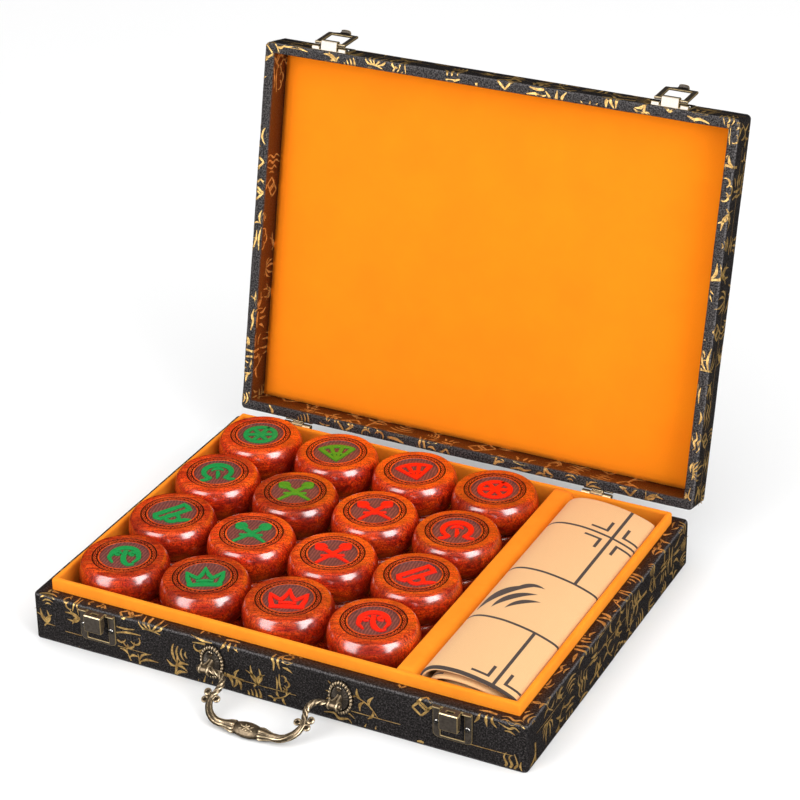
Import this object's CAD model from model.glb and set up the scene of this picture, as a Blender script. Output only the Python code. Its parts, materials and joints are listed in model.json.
import json
import random
from math import copysign, cos, dist, exp, hypot, pi, radians, sin, sqrt

import bmesh
import bpy
from mathutils import Matrix, Vector, noise

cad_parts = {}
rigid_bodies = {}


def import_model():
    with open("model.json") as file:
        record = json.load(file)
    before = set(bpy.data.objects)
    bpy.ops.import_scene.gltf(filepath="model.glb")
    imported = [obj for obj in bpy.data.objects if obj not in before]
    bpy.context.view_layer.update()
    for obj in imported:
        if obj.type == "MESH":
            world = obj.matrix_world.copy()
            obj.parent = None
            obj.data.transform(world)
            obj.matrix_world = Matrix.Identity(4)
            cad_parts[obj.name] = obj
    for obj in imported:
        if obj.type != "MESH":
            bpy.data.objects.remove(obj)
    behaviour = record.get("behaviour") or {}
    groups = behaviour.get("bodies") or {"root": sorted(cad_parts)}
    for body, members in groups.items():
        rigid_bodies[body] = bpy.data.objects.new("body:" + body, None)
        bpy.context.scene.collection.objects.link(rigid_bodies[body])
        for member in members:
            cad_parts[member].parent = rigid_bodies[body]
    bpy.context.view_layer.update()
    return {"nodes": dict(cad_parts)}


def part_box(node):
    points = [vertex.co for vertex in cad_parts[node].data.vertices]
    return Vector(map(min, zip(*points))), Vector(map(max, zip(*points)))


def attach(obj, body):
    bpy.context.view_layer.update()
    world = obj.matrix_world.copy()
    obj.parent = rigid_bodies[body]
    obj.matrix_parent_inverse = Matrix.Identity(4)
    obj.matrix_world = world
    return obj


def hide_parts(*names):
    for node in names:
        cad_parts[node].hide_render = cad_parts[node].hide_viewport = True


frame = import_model()
MM = 0.001
NODES = frame["nodes"]

# ------------------------------------------------------------------ sizes, in mm, as in the CAD
WIDTH, DEPTH = 292.0, 224.6
FRONT, BACK = -DEPTH / 2, DEPTH / 2
BASE_H, LID_H, GAP = 28.2, 20.4, 0.3
LEDGE, NECK, NECK_TOP = 7.6, 3.0, 35.2
FLOOR, BAY_FLOOR = 3.0, 3.5
CORNER = 2.6
LID_RIM = BASE_H + GAP
LID_TOP = LID_RIM + LID_H
LID_CEIL = LID_TOP - 3.0
PAD_T, PAD_EDGE = 2.5, 6.05
DIV_L, DIV_R, BAY_Y = 68.0, 80.0, 101.7
OPEN = 102.0
HINGE_Y, HINGE_Z = BACK + 3.0, BASE_H + GAP / 2
LATCH_X = 105.0
PIECE_D, PIECE_H, PIECE_TURN = 50.0, 19.0, 26.0
HANDLE_X, POST_X, PIVOT_OUT, PIVOT_Z = 3.5, 38.0, 8.5, 16.0
BAIL_ANGLE, BAIL_DEEP = 28.58, 26.0
SHEET_U, SHEET_V, CELL, MARGIN = 464.0, 517.0, 53.0, 20.0
RIVER = (MARGIN + 4 * CELL, MARGIN + 5 * CELL)

LID_MOVE = (
    Matrix.Translation((0, HINGE_Y * MM, HINGE_Z * MM))
    @ Matrix.Rotation(radians(-OPEN), 4, "X")
    @ Matrix.Translation((0, -HINGE_Y * MM, -HINGE_Z * MM))
)


# ------------------------------------------------------------------ node helpers
class Val:
    """A socket that takes arithmetic: each operation adds a Math node to its tree."""

    def __init__(self, t, socket):
        self.t, self.socket = t, socket

    def __rsub__(self, other):
        return math_("SUBTRACT", other, self)


for sign, op in (("add", "ADD"), ("sub", "SUBTRACT"), ("mul", "MULTIPLY"), ("truediv", "DIVIDE"),
                 ("gt", "GREATER_THAN"), ("lt", "LESS_THAN"), ("abs", "ABSOLUTE")):
    setattr(Val, f"__{sign}__", lambda self, *other, op=op: math_(op, self, *other))


def put(socket, value):
    """Links a Val to a socket, or sets a number or colour on it."""
    if isinstance(value, Val):
        value.t.links.new(value.socket, socket)
    elif hasattr(value, "__len__") and len(socket.default_value) == 4:
        socket.default_value = (*value, 1.0)
    else:
        socket.default_value = value


def node(kind, values, where=None, out=0, **settings):
    """An output of a new node in the tree of the first Val among values. Its settings come
    first, because they say which inputs it has."""
    t = next(v.t for v in values if isinstance(v, Val))
    n = t.nodes.new("ShaderNode" + kind)
    for key, value in settings.items():
        setattr(n, key, value)
    for key, value in zip(where or range(len(values)), values):
        put(n.inputs[key], value)
    return Val(t, n.outputs[out])


def math_(op, *values):
    return node("Math", values, operation=op)


def vec(op, a, b):
    return node("VectorMath", (a, b), (0, "Scale" if op == "SCALE" else 1), operation=op)


def noise_(v, scale, detail=2.0, rough=0.5, distortion=0.0, dims="3D"):
    return node("TexNoise", (v, scale, detail, rough, distortion),
                ("Vector", "Scale", "Detail", "Roughness", "Distortion"), noise_dimensions=dims)


def ramp(fac, *stops):
    out = node("ValToRGB", (fac,))
    elements = out.socket.node.color_ramp.elements
    while len(elements) < len(stops):
        elements.new(0.5)
    for e, (pos, col) in zip(elements, stops):
        e.position = pos
        e.color = (*col, 1.0) if hasattr(col, "__len__") else (col, col, col, 1.0)
    return out


def mix(fac, a, b, mode="MIX"):
    return node("Mix", (fac, a, b), (0, 6, 7), 2, data_type="RGBA", blend_type=mode)


def step_down(x, edge, soft):
    """1 below edge, 0 above edge + soft."""
    return node("MapRange", (x, edge, edge + soft, 1.0, 0.0), interpolation_type="SMOOTHSTEP")


def split(v):
    return [Val(v.t, out) for out in node("SeparateXYZ", (v,)).socket.node.outputs]


def join(x, y, z):
    return node("CombineXYZ", (x, y, z))


def scaled(colour, k):
    return [c * k for c in colour]


def new_material(name):
    """A material with a plain Principled shader, and its tree."""
    m = bpy.data.materials.new(name)
    m.use_nodes = True
    t = m.node_tree
    t.nodes.clear()
    out = t.nodes.new("ShaderNodeOutputMaterial")
    b = t.nodes.new("ShaderNodeBsdfPrincipled")
    t.links.new(b.outputs[0], out.inputs[0])
    return m, t, b


def shade(b, colour, rough, relief=None, **sockets):
    """Sets the shader's sockets, named with underscores. relief is the bump's (height, strength,
    distance)."""
    put(b.inputs["Base Color"], colour)
    put(b.inputs["Roughness"], rough)
    for key, value in sockets.items():
        put(b.inputs[key.replace("_", " ").title().replace("Ior", "IOR")], value)
    if relief:
        height, strength, distance = relief
        put(b.inputs["Normal"], node("Bump", (strength, distance, height),
                                     ("Strength", "Distance", "Height")))


def source(t, kind, output):
    return Val(t, t.nodes.new("ShaderNode" + kind).outputs[output])


def object_mm(t):
    """Object coordinates, in mm."""
    return vec("SCALE", source(t, "TexCoord", "Object"), 1 / MM)


def uv_mm(t):
    """The piece's own flat coordinates, stored in metres, as mm."""
    n = t.nodes.new("ShaderNodeUVMap")
    n.uv_map = "flat"
    return vec("SCALE", Val(t, n.outputs[0]), 1 / MM)


def attribute(t, name):
    n = t.nodes.new("ShaderNodeAttribute")
    n.attribute_name = name
    return Val(t, n.outputs["Fac"])


# ------------------------------------------------------------------ materials
def cover_material(name, base, tint):
    """Grained leather cloth: black, speckled, rubbed grey along its edges."""
    m, t, b = new_material(name)
    uv = uv_mm(t)
    grain = noise_(uv, 0.9, 3.0, 0.7, dims="2D")
    speck = noise_(uv, 1.05, 2.0, 0.7, dims="2D")
    cloth = noise_(uv, 0.06, dims="2D")
    weave = noise_(uv, 1.7, 4.0, 0.75, dims="2D")
    colour = mix(ramp(grain, (0.44, 0.0), (0.58, 1.0)), scaled(base, 0.35), scaled(base, 3.0))
    colour = mix(ramp(speck, (0.53, 0.0), (0.68, 0.9)), colour, (0.072, 0.064, 0.062))
    colour = mix(ramp(cloth, (0.35, 0.0), (0.7, 0.3)), colour, scaled(base, 1.6))
    colour = mix(attribute(t, "inside") * 0.85, colour, tint)
    rubbed = attribute(t, "wear") * ramp(speck, (0.42, 0.05), (0.56, 1.0))
    shade(b, mix(rubbed, colour, (0.13, 0.12, 0.12)), ramp(grain, (0.40, 0.60), (0.6, 0.42)),
          (weave, 0.7, 0.00022), specular_ior_level=0.12)
    return m


def gold_material(name, bright, dull):
    """The figures printed on the cover, worn through in places."""
    m, t, b = new_material(name)
    p = object_mm(t)
    patch = noise_(p, 0.35, 3.0, 0.6)
    rub = noise_(p, 1.9, 3.0, 0.75)
    worn = ramp(rub, (0.36, 0.85), (0.47, 0.0))
    colour = mix(ramp(patch, (0.35, 0.0), (0.66, 1.0)), dull, bright)
    shade(b, mix(worn, colour, (0.030, 0.022, 0.014)), 0.42, (rub, 0.3, 0.0001),
          metallic=worn * -0.62 + 0.62)
    return m


def flannel_material(name, base, deep, scale=1.0):
    m, t, b = new_material(name)
    p = object_mm(t)
    nap = noise_(p, 0.05 * scale, 3.0, 0.6)
    fuzz = noise_(p, 2.6, 3.0, 0.75)
    colour = mix(ramp(nap, (0.30, 0.0), (0.72, 1.0)), base, deep)
    colour = mix(ramp(fuzz, (0.30, 0.35), (0.65, 0.0)), colour, scaled(base, 0.82))
    shade(b, colour, 0.95, (fuzz, 0.35, 0.0002), specular_ior_level=0.15, sheen_weight=0.18,
          sheen_roughness=0.6, sheen_tint=(1.0, 0.55, 0.10))
    return m


def wood_coords(t, stretch):
    """Object coordinates in mm, moved and then stretched, and the piece's own random number."""
    r = source(t, "ObjectInfo", "Random")
    moved = vec("ADD", object_mm(t), join(r * 431.0, r * 977.0, r * 613.0))
    return vec("MULTIPLY", moved, stretch), r


def rosewood_material(name, dark, mid, light, rough, mottle, coat, carved=0.0, top=None):
    """Polished rosewood. With top, it is more orange on the flat face and darker low down the
    side. With carved, it is stained in cuts of that depth."""
    m, t, b = new_material(name)
    p, r = wood_coords(t, (0.035, 0.30, 0.16))
    q, _ = wood_coords(t, (0.5, 0.5, 0.5))
    z = split(object_mm(t))[2]
    grain = noise_(p, 1.0, 5.0, 0.62, 0.7)
    streak = noise_(vec("MULTIPLY", p, (1.5, 5.0, 5.0)), 1.0, 3.0, 0.6)
    cloud = noise_(q, 0.12, 3.0, 0.6)
    pores = noise_(q, 2.2, 2.0, 0.8)
    colour = ramp(grain, (0.28, dark), (0.46, mid), (0.66, light))
    if top:
        face = ramp(grain, (0.28, mid), (0.46, top[0]), (0.66, top[1]))
        rise = z / PIECE_H
        colour = mix(ramp(rise, (0.80, 0.0), (0.985, 1.0)), colour, face)
        colour = mix(1.0, colour, ramp(rise, (0.10, 0.50), (0.66, 1.0)), "MULTIPLY")
    colour = mix(ramp(streak, (0.42, mottle), (0.56, 0.0)), colour, dark)
    colour = mix(ramp(cloud, (0.34, mottle), (0.56, 0.0)), colour, scaled(dark, 1.6))
    colour = mix(ramp(pores, (0.40, 0.75), (0.50, 0.0)), colour, scaled(dark, 0.9))
    tone = r * 0.44 + 0.76
    colour = mix(1.0, colour, join(tone, tone, tone), "MULTIPLY")
    if carved:
        deep = (PIECE_H - z) / carved
        colour = mix(ramp(deep, (0.16, 0.0), (0.62, 1.0)), colour, (0.010, 0.002, 0.001))
    shade(b, colour, rough, (pores, 0.08, 0.0001), specular_ior_level=0.16, coat_weight=coat,
          coat_roughness=0.19, coat_ior=1.8)
    return m


def recess_material():
    """The sunk face round a picture, hatched by the cutter."""
    m, t, b = new_material("piece_recess")
    p, _ = wood_coords(t, (1.0, 1.0, 1.0))
    x, y, _ = split(p)
    line = (x * 0.94 + y * -0.34) * 3.6 + noise_(p, 0.5) * 5.5
    cut = math_("SINE", line) * 0.5 + 0.5
    blot = noise_(p, 0.35, 3.0)
    colour = mix(cut, (0.115, 0.027, 0.020), (0.27, 0.066, 0.049))
    colour = mix(ramp(blot, (0.35, 0.45), (0.6, 0.0)), colour, (0.09, 0.030, 0.028))
    shade(b, colour, 0.55, (cut, 0.5, 0.0002))
    return m


def paint_material(name, colour):
    m, t, b = new_material(name)
    n = noise_(object_mm(t), 1.2)
    shade(b, mix(ramp(n, (0.3, 0.0), (0.75, 1.0)), colour, scaled(colour, 0.72)), 0.42,
          (n, 0.25, 0.0002), specular_ior_level=0.2)
    return m


def metal_material(name, low, high, rough, stain, scale=0.6, metallic=1.0, near_handle=None,
                   hollows=True):
    """Worn metal: dark in its hollows and in stains, bright where it stands proud."""
    m, t, b = new_material(name)
    p = object_mm(t)
    n = noise_(p, scale, 4.0, 0.6)
    fine = noise_(p, 4.0)
    if near_handle:
        off = abs(split(p)[0] - HANDLE_X)
        high = mix(step_down(off, POST_X + 10.0, 1.0), high, near_handle)
    colour = mix(ramp(n, (0.30, stain), (0.6, 0.0)), high, low)
    if hollows:
        ao = t.nodes.new("ShaderNodeAmbientOcclusion")
        ao.inputs["Distance"].default_value = 1.6 * MM
        ao.samples = 6
        open_ = ramp(Val(t, ao.outputs["AO"]), (0.35, 0.0), (0.92, 1.0))
        colour = mix(open_, scaled(low, 0.25), colour)
    shade(b, colour, ramp(fine, (0.3, rough - 0.06), (0.7, rough + 0.10)), (fine, 0.12, 0.0001),
          metallic=metallic)
    return m


def board_material():
    m, t, b = new_material("raw_board")
    g = noise_(vec("MULTIPLY", object_mm(t), (0.02, 0.3, 0.3)), 1.0, 4.0, 0.6)
    colour = ramp(g, (0.35, (0.34, 0.22, 0.12)), (0.65, (0.58, 0.43, 0.27)))
    shade(b, colour, 0.8, (g, 0.2, 0.0003))
    return m


WAVE = [  # centre u, centre v from mid-river, radius, start and end angles, half width
    (125.0, -22.0, 36.0, 2.02, 3.10, 3.0),
    (125.0, -22.0, 29.0, 1.96, 2.98, 2.3),
    (125.0, -22.0, 22.5, 1.88, 2.86, 1.7),
    (112.0, -2.0, 14.0, 1.35, 2.45, 1.5),
]


def sheet_material():
    """Tan cloth with a printed grid, brackets at the men's places and a brush wave."""
    m, t, b = new_material("sheet_print")
    uv = uv_mm(t)
    u, v, _ = split(uv)
    half, soft = 0.8, 0.18

    def between(x, low, high):
        return (x > low) * (x < high)

    def off_line(x, span):
        """How far x lies from the nearest multiple of span."""
        k = x / span
        return abs(k - math_("ROUND", k)) * span

    def lines(x, count):
        on = step_down(off_line(x - MARGIN, CELL), half, soft)
        return on * between((x - MARGIN) / CELL, -0.1, count - 0.9)

    in_u = between(u, MARGIN - half, SHEET_U - MARGIN + half)
    in_v = between(v, MARGIN - half, SHEET_V - MARGIN + half)
    river = between(v, RIVER[0] + half, RIVER[1] - half)
    inner = between(u, MARGIN + 2, SHEET_U - MARGIN - 2)
    ink = math_("MAXIMUM", lines(v, 10) * in_u, lines(u, 9) * in_v * (1.0 - river * inner))
    # brackets, drawn in one quadrant and mirrored round each crossing
    off, arm = 5.0, 9.5
    for rows, first, every in (((3, 6), 0, 2), ((2, 7), 1, 6)):
        du = off_line(u - (MARGIN + first * CELL), CELL * every)
        for row in rows:
            dv = abs(v - (MARGIN + row * CELL))
            one = step_down(abs(du - off), half, soft) * between(dv, off - half, off + arm)
            two = step_down(abs(dv - off), half, soft) * between(du, off - half, off + arm)
            ink = math_("MAXIMUM", ink, math_("MAXIMUM", one, two) * in_u)
    # a brush wave in the river: arcs that swell and taper
    mid = sum(RIVER) / 2
    for cu, cv, radius, start, end, thick in WAVE:
        du, dv = u - cu, v - (mid + cv)
        s = (math_("ARCTAN2", dv, du) - start) / (end - start)
        near = abs(math_("SQRT", du * du + dv * dv) - radius) - math_("SINE", s * pi) * thick
        ink = math_("MAXIMUM", ink, step_down(near, -0.2, 0.3) * between(s, 0.0, 1.0))
    fibre = noise_(uv, 1.6, 3.0, 0.7, dims="2D")
    thread_u, thread_v = (math_("SINE", x * 7.5) * 0.5 + 0.5 for x in (u, v))
    weave = thread_u * thread_v
    cloth = mix(fibre, (0.80, 0.49, 0.23), (0.66, 0.39, 0.18))
    cloth = mix(weave * 0.30, cloth, (0.50, 0.29, 0.13))
    ink_colour = mix(fibre, (0.030, 0.020, 0.018), (0.070, 0.050, 0.040))
    shade(b, mix(ink, cloth, ink_colour), 0.9, (weave + fibre, 0.3, 0.0002),
          specular_ior_level=0.2, sheen_weight=0.15)
    return m


CLOTH = cover_material("cover_cloth", (0.0058, 0.0048, 0.0048), (0.13, 0.036, 0.004))
GOLD = gold_material("cover_gold", (0.78, 0.50, 0.16), (0.36, 0.20, 0.050))
FLANNEL = flannel_material("bay_flannel", (0.92, 0.29, 0.016), (0.86, 0.22, 0.008))
PAD = flannel_material("pad_flannel", (0.99, 0.255, 0.002), (0.98, 0.230, 0.002), 0.7)
PIECE_WOOD = rosewood_material(
    "rosewood", (0.10, 0.004, 0.002), (0.74, 0.030, 0.002), (0.97, 0.090, 0.004), rough=0.38,
    mottle=0.55, coat=1.0, top=((0.90, 0.070, 0.003), (0.98, 0.125, 0.005)))
BAND_WOOD = rosewood_material(
    "rosewood_band", (0.20, 0.012, 0.004), (0.76, 0.072, 0.006), (0.92, 0.135, 0.010), rough=0.5,
    mottle=0.2, coat=0.2, carved=0.50)
RECESS = recess_material()
PAINTS = {key: paint_material("paint_" + key, colour) for key, colour in (
    ("green", (0.010, 0.30, 0.065)), ("lime", (0.080, 0.30, 0.012)),
    ("red", (0.92, 0.012, 0.001)))}
BRONZE = metal_material("antique_bronze", (0.034, 0.025, 0.015), (0.225, 0.165, 0.103), 0.34, 0.65,
                        metallic=0.8)
WORN = metal_material("worn_bronze", (0.25, 0.175, 0.10), (0.74, 0.57, 0.36), 0.32, 0.45,
                      scale=1.3, metallic=0.75)
DARK_METAL = metal_material("dark_bronze", (0.022, 0.017, 0.013), (0.090, 0.073, 0.057), 0.38, 0.6,
                            metallic=0.55)
SILVER = metal_material("worn_steel", (0.36, 0.32, 0.28), (0.66, 0.60, 0.53), 0.45, 0.5,
                        scale=1.6, metallic=0.3)
EDGE_METAL = metal_material("bright_brass", (0.50, 0.36, 0.17), (0.95, 0.74, 0.42), 0.30, 0.25,
                            metallic=0.45)
RIM_METAL = metal_material("rubbed_brass", (0.10, 0.07, 0.028), (0.33, 0.235, 0.10), 0.34, 0.35,
                           metallic=0.4, hollows=False)
STEEL = metal_material("screw_metal", (0.10, 0.09, 0.08), (0.62, 0.60, 0.57), 0.24, 0.5, scale=1.2,
                       near_handle=(0.30, 0.24, 0.17))
BOARD = board_material()
SHEET = sheet_material()


# ------------------------------------------------------------------ flat runs
def arc_points(cx, cy, r, start, sweep, n=14):
    return [(cx + r * cos(radians(start + sweep * i / n)),
             cy + r * sin(radians(start + sweep * i / n))) for i in range(n + 1)]


def circle(n):
    return [2 * pi * j / n for j in range(n)]


def run_length(run):
    return sum(dist(a, b) for a, b in zip(run, run[1:]))


def heading(run, i):
    """The direction of a flat run at its point i, as a unit vector."""
    (ax, ay), (bx, by) = run[max(i - 1, 0)], run[min(i + 1, len(run) - 1)]
    ln = hypot(bx - ax, by - ay) or 1.0
    return (bx - ax) / ln, (by - ay) / ln


def stroke_width(widths, s):
    """A stroke's width at the share s of its length, from those at its start, middle and end."""
    w0, w1, w2 = widths
    return w0 * (1 - 2 * s) + w1 * 2 * s if s < 0.5 else w1 * (2 - 2 * s) + w2 * (2 * s - 1)


def smooth_run(points, n):
    """n + 1 points on a smooth curve through the given ones."""
    pts = [points[0]] + list(points) + [points[-1]]
    out, spans = [], len(points) - 1
    for i in range(n + 1):
        s = min(i / n * spans, spans - 1e-6)
        k = int(s)
        f = s - k
        out.append(tuple(
            0.5 * (2 * b + (c - a) * f + (2 * a - 5 * b + 4 * c - d) * f * f
                   + (3 * b - 3 * c + d - a) * f ** 3)
            for a, b, c, d in zip(*pts[k:k + 4])))
    return out


# ------------------------------------------------------------------ mesh helpers
def in_scene(name, data):
    obj = bpy.data.objects.new(name, data)
    bpy.context.scene.collection.objects.link(obj)
    return obj


def dress(mesh, *mats):
    mesh.materials.clear()
    for mat in mats:
        mesh.materials.append(mat)


def mesh_of(name, verts, faces, mats, ids=None, smooth=True):
    """A mesh from points in mm; ids are its faces' materials, smooth one value or one a face."""
    mesh = bpy.data.meshes.new(name)
    mesh.from_pydata([tuple(c * MM for c in v) for v in verts], [], faces)
    dress(mesh, *mats)
    if ids:
        mesh.polygons.foreach_set("material_index", ids)
    shaded = smooth if isinstance(smooth, list) else [smooth] * len(faces)
    mesh.polygons.foreach_set("use_smooth", shaded)
    mesh.update()
    return mesh


def stand_in(obj, body, replaced=()):
    """Puts a piece on its body and in its slot, in place of the CAD nodes it replaces."""
    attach(obj, body)
    if replaced:
        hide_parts(*replaced)
    return obj


def box_uv(mesh, layer):
    """Flat coordinates in the plane that each face lies nearest to, apart for each direction."""
    for p in mesh.polygons:
        k = max(range(3), key=lambda i: abs(p.normal[i]))
        a, b = [(1, 2), (0, 2), (0, 1)][k]
        lift = (0.0, 0.31, 0.67)[k] + (0.11 if p.normal[k] > 0 else 0.0)
        for li in p.loop_indices:
            co = mesh.vertices[mesh.loops[li].vertex_index].co
            layer.data[li].uv = (co[a] + lift, co[b] + 0.5 * lift)


def make(name, verts, faces, body, slot, mats, replaced=(), ids=None, flat=None, moved=None,
         attrs=None, smooth=True):
    """A piece from points in mm. flat gives each point's place in the material's own plane, or
    "box"; moved is a matrix applied at the end."""
    mesh = mesh_of(name, verts, faces, mats, ids, smooth)
    if flat is not None:
        layer = mesh.uv_layers.new(name="flat")
        if flat == "box":
            box_uv(mesh, layer)
        else:
            for loop in mesh.loops:
                layer.data[loop.index].uv = [c * MM for c in flat[loop.vertex_index]]
    for key, values in (attrs or {}).items():
        mesh.attributes.new(key, "FLOAT", "POINT").data.foreach_set("value", values)
    if moved is not None:
        mesh.transform(moved)
    mesh.update()
    return stand_in(in_scene(name, mesh), body, replaced)


def face_out(obj):
    bm = bmesh.new()
    bm.from_mesh(obj.data)
    bmesh.ops.recalc_face_normals(bm, faces=bm.faces)
    bm.to_mesh(obj.data)
    bm.free()


def round_edges(obj, width, material, **settings):
    """Rounds a piece's sharp edges, width in mm, and gives them a material."""
    m = obj.modifiers.new("edges", "BEVEL")
    m.width, m.segments, m.material = width * MM, 2, material
    for key, value in settings.items():
        setattr(m, key, value)


def loft(loops, caps=True):
    """Points and faces through a list of loops with the same number of points."""
    verts = [p for loop in loops for p in loop]
    n, faces = len(loops[0]), []
    for k in range(0, len(verts) - n, n):
        faces += [(k + i, k + (i + 1) % n, k + n + (i + 1) % n, k + n + i) for i in range(n)]
    if caps:
        faces += [tuple(reversed(range(n))), tuple(range(len(verts) - n, len(verts)))]
    return verts, faces


def grid_faces(n, rows):
    """Faces of a grid of rows with n points each."""
    return [(a, a + n, a + n + 1, a + 1) for k in range(rows - 1)
            for a in range(k * n, k * n + n - 1)]


def rounded_loop(inset, z, radius, step=7.0, arc=6):
    """Points round the case's outline, drawn in by inset, with rounded corners."""
    hx, hy, r = WIDTH / 2 - inset, DEPTH / 2 - inset, max(radius, 0.05)
    out = []
    for turn, sx, sy, dx, dy in (
            (0, 1, 1, -1, 0), (90, -1, 1, 0, -1), (180, -1, -1, 1, 0), (270, 1, -1, 0, 1)):
        out += arc_points(sx * (hx - r), sy * (hy - r), r, turn, 90, arc)
        n = round((WIDTH if dx else DEPTH) / step)
        length = 2 * ((hx if dx else hy) - r)
        x, y = out[-1]
        out += [(x + dx * length * i / n, y + dy * length * i / n) for i in range(1, n)]
    return [(x, y, z) for x, y in out]


# ------------------------------------------------------------------ the case
def hand_laid(x, y, z, amount=0.3):
    """The cover's slight unevenness: a point of the case drawn in by up to 0.2 mm."""
    d = max(0.0, noise.noise(Vector((x, y, z)) * 0.045)) * 0.14 * amount
    return x * (1 - d / 60), y * (1 - d / 60), z


def case_shell(name, profile, body, replaced, inside, moved=None):
    """A covered shell lofted through (inset, z, wear) rows. Its corners follow the inset, or a
    fourth value. inside says, by row, how much of the lining's colour the row takes."""
    loops = [rounded_loop(inset, z, CORNER - (at[0] if at else inset))
             for inset, z, _, *at in profile]
    verts, faces = loft(loops)
    n = len(loops[0])
    wear = [row[2] for row in profile for _ in range(n)]
    within = [inside.get(k, 0.0) for k in range(len(profile)) for _ in range(n)]
    out = [hand_laid(*v, 1.0 if w > 0 else 0.3) for v, w in zip(verts, wear)]
    make(name, out, faces, body, "cover_cloth", [CLOTH], replaced, flat="box", moved=moved,
         attrs={"wear": wear, "inside": within})


EDGE, RIM = BASE_H, LID_RIM
case_shell(
    "base_cover_shell",
    [(1.2, 0.0, 0), (0.35, 0.12, 0.3), (0.0, 0.7, 0.5), (0.0, 1.6, 0), (0.0, 14.0, 0),
     (0.0, 26.2, 0), (0.0, 27.1, 0.05), (0.14, 27.65, 0.8, 0.1), (0.42, 28.02, 1.0, 0.4),
     (0.95, EDGE, 0.2, 0.9), (1.7, EDGE, 0), (4.6, EDGE, 0), (LEDGE, EDGE, 0), (LEDGE, 27.6, 0),
     (0.6, 27.6, 0), (0.6, 0.6, 0)],
    "case_base", ["base_cover", "base_underside_sheet"], {11: 0.12, 12: 0.3, 13: 0.3})
case_shell(
    "lid_cover_shell",
    [(1.2, LID_TOP, 0), (0.35, LID_TOP - 0.12, 0.5), (0.0, LID_TOP - 0.7, 0.5),
     (0.0, LID_TOP - 1.6, 0), (0.0, RIM + 10, 0), (0.0, RIM + 1.4, 0), (0.1, RIM + 0.6, 1.0),
     (0.4, RIM + 0.15, 1.0), (0.95, RIM, 0.5, 0.9), (3.0, RIM, 0.35), (5.2, RIM, 0.45),
     (5.7, RIM + 0.2, 0.5), (6.0, RIM + 0.8, 0.2), (6.0, RIM + 2.0, 0), (6.0, LID_CEIL, 0),
     (5.4, LID_CEIL, 0), (5.4, RIM + 0.9, 0), (0.6, RIM + 0.9, 0), (0.6, LID_TOP - 0.6, 0)],
    "case_lid", ["lid_cover"], {12: 0.5, 13: 1.0, 14: 1.0}, moved=LID_MOVE)


# ------------------------------------------------------------------ gold figures on the cover
def leaf(x, y, turn, length, width=1.5, bend=0.18):
    """A brushed leaf from its stalk outwards: narrow, swelling, then drawn out to a point."""
    a = radians(turn)
    tip = (x + length * cos(a), y + length * sin(a))
    mid = (x + 0.45 * length * cos(a) - bend * length * sin(a),
           y + 0.45 * length * sin(a) + bend * length * cos(a))
    return [(x, y), mid, tip], (0.35, width, 0.12)


def bow(cx, cy, r, start, sweep, width=1.0):
    return arc_points(cx, cy, r, start, sweep, 8), (0.3 * width, width, 0.3 * width)


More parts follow.
